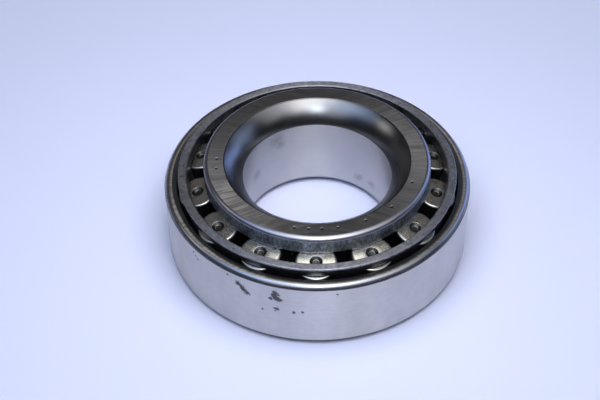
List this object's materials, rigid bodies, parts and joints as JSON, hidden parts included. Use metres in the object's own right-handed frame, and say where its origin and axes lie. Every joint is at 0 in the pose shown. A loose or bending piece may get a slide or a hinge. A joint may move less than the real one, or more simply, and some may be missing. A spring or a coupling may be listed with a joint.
{
  "type": "tapered roller bearing",
  "caption": "Single-row tapered roller bearing: ground cup, cone with a thick flange and a large bore fillet, pressed cage and tapered rollers that roll as the cone turns.",
  "frame": {"origin": "on the bearing's axis, at the cup's back face (the wide face the bearing stands on)", "axes": "+Z along the bearing's axis, from the cup's back face towards the cone's back face; one roller is 1.5 degrees short of -Y, towards -X"},
  "size_m": [0.072, 0.072, 0.0243],
  "materials": {
    "cup": "ground bearing steel, satin, faint handling stains",
    "cone": "ground bearing steel; smooth dark bore fillet",
    "cage": "pressed sheet steel, dull, oiled",
    "roller": "ground bearing steel, bright ends with a centre dimple"
  },
  "bodies": {
    "cup": {"cup": "cup"},
    "cone": {"cone": "cone"},
    "cage": {"cage": "cage"},
    "roller_01": {"roller_01": "roller"},
    "roller_02": {"roller_02": "roller"},
    "roller_03": {"roller_03": "roller"},
    "roller_04": {"roller_04": "roller"},
    "roller_05": {"roller_05": "roller"},
    "roller_06": {"roller_06": "roller"},
    "roller_07": {"roller_07": "roller"},
    "roller_08": {"roller_08": "roller"},
    "roller_09": {"roller_09": "roller"},
    "roller_10": {"roller_10": "roller"},
    "roller_11": {"roller_11": "roller"},
    "roller_12": {"roller_12": "roller"},
    "roller_13": {"roller_13": "roller"},
    "roller_14": {"roller_14": "roller"}
  },
  "joints": [
    {"name": "cone_spin", "type": "hinge", "parent": "cup", "child": "cone", "pos_m": [0, 0, 0.012], "axis": [0, 0, 1], "continuous": true},
    {"name": "cage_orbit", "type": "hinge", "parent": "cup", "child": "cage", "pos_m": [0, 0, 0.012], "axis": [0, 0, 1], "continuous": true},
    {"name": "roller_01_spin", "type": "hinge", "parent": "cage", "child": "roller_01", "pos_m": [-0.0007, -0.02677, 0.0114], "axis": [-0.0055, -0.2085, 0.978], "continuous": true},
    {"name": "roller_02_spin", "type": "hinge", "parent": "cage", "child": "roller_02", "pos_m": [0.01098, -0.02442, 0.0114], "axis": [0.0855, -0.1902, 0.978], "continuous": true},
    {"name": "roller_03_spin", "type": "hinge", "parent": "cage", "child": "roller_03", "pos_m": [0.02049, -0.01724, 0.0114], "axis": [0.1596, -0.1342, 0.978], "continuous": true},
    {"name": "roller_04_spin", "type": "hinge", "parent": "cage", "child": "roller_04", "pos_m": [0.02594, -0.00664, 0.0114], "axis": [0.202, -0.0517, 0.978], "continuous": true},
    {"name": "roller_05_spin", "type": "hinge", "parent": "cage", "child": "roller_05", "pos_m": [0.02625, 0.00527, 0.0114], "axis": [0.2044, 0.0411, 0.978], "continuous": true},
    {"name": "roller_06_spin", "type": "hinge", "parent": "cage", "child": "roller_06", "pos_m": [0.02136, 0.01614, 0.0114], "axis": [0.1664, 0.1257, 0.978], "continuous": true},
    {"name": "roller_07_spin", "type": "hinge", "parent": "cage", "child": "roller_07", "pos_m": [0.01224, 0.02381, 0.0114], "axis": [0.0954, 0.1854, 0.978], "continuous": true},
    {"name": "roller_08_spin", "type": "hinge", "parent": "cage", "child": "roller_08", "pos_m": [0.0007, 0.02677, 0.0114], "axis": [0.0055, 0.2085, 0.978], "continuous": true},
    {"name": "roller_09_spin", "type": "hinge", "parent": "cage", "child": "roller_09", "pos_m": [-0.01098, 0.02442, 0.0114], "axis": [-0.0855, 0.1902, 0.978], "continuous": true},
    {"name": "roller_10_spin", "type": "hinge", "parent": "cage", "child": "roller_10", "pos_m": [-0.02049, 0.01724, 0.0114], "axis": [-0.1596, 0.1342, 0.978], "continuous": true},
    {"name": "roller_11_spin", "type": "hinge", "parent": "cage", "child": "roller_11", "pos_m": [-0.02594, 0.00664, 0.0114], "axis": [-0.202, 0.0517, 0.978], "continuous": true},
    {"name": "roller_12_spin", "type": "hinge", "parent": "cage", "child": "roller_12", "pos_m": [-0.02625, -0.00527, 0.0114], "axis": [-0.2044, -0.0411, 0.978], "continuous": true},
    {"name": "roller_13_spin", "type": "hinge", "parent": "cage", "child": "roller_13", "pos_m": [-0.02136, -0.01614, 0.0114], "axis": [-0.1664, -0.1257, 0.978], "continuous": true},
    {"name": "roller_14_spin", "type": "hinge", "parent": "cage", "child": "roller_14", "pos_m": [-0.01224, -0.02381, 0.0114], "axis": [-0.0954, -0.1854, 0.978], "continuous": true}
  ],
  "couplings": [
    {"joint": "cage_orbit", "follows": "cone_spin", "ratio": 0.41811},
    {"joint": "roller_01_spin", "follows": "cone_spin", "ratio": -2.9056},
    {"joint": "roller_02_spin", "follows": "cone_spin", "ratio": -2.9056},
    {"joint": "roller_03_spin", "follows": "cone_spin", "ratio": -2.9056},
    {"joint": "roller_04_spin", "follows": "cone_spin", "ratio": -2.9056},
    {"joint": "roller_05_spin", "follows": "cone_spin", "ratio": -2.9056},
    {"joint": "roller_06_spin", "follows": "cone_spin", "ratio": -2.9056},
    {"joint": "roller_07_spin", "follows": "cone_spin", "ratio": -2.9056},
    {"joint": "roller_08_spin", "follows": "cone_spin", "ratio": -2.9056},
    {"joint": "roller_09_spin", "follows": "cone_spin", "ratio": -2.9056},
    {"joint": "roller_10_spin", "follows": "cone_spin", "ratio": -2.9056},
    {"joint": "roller_11_spin", "follows": "cone_spin", "ratio": -2.9056},
    {"joint": "roller_12_spin", "follows": "cone_spin", "ratio": -2.9056},
    {"joint": "roller_13_spin", "follows": "cone_spin", "ratio": -2.9056},
    {"joint": "roller_14_spin", "follows": "cone_spin", "ratio": -2.9056}
  ]
}
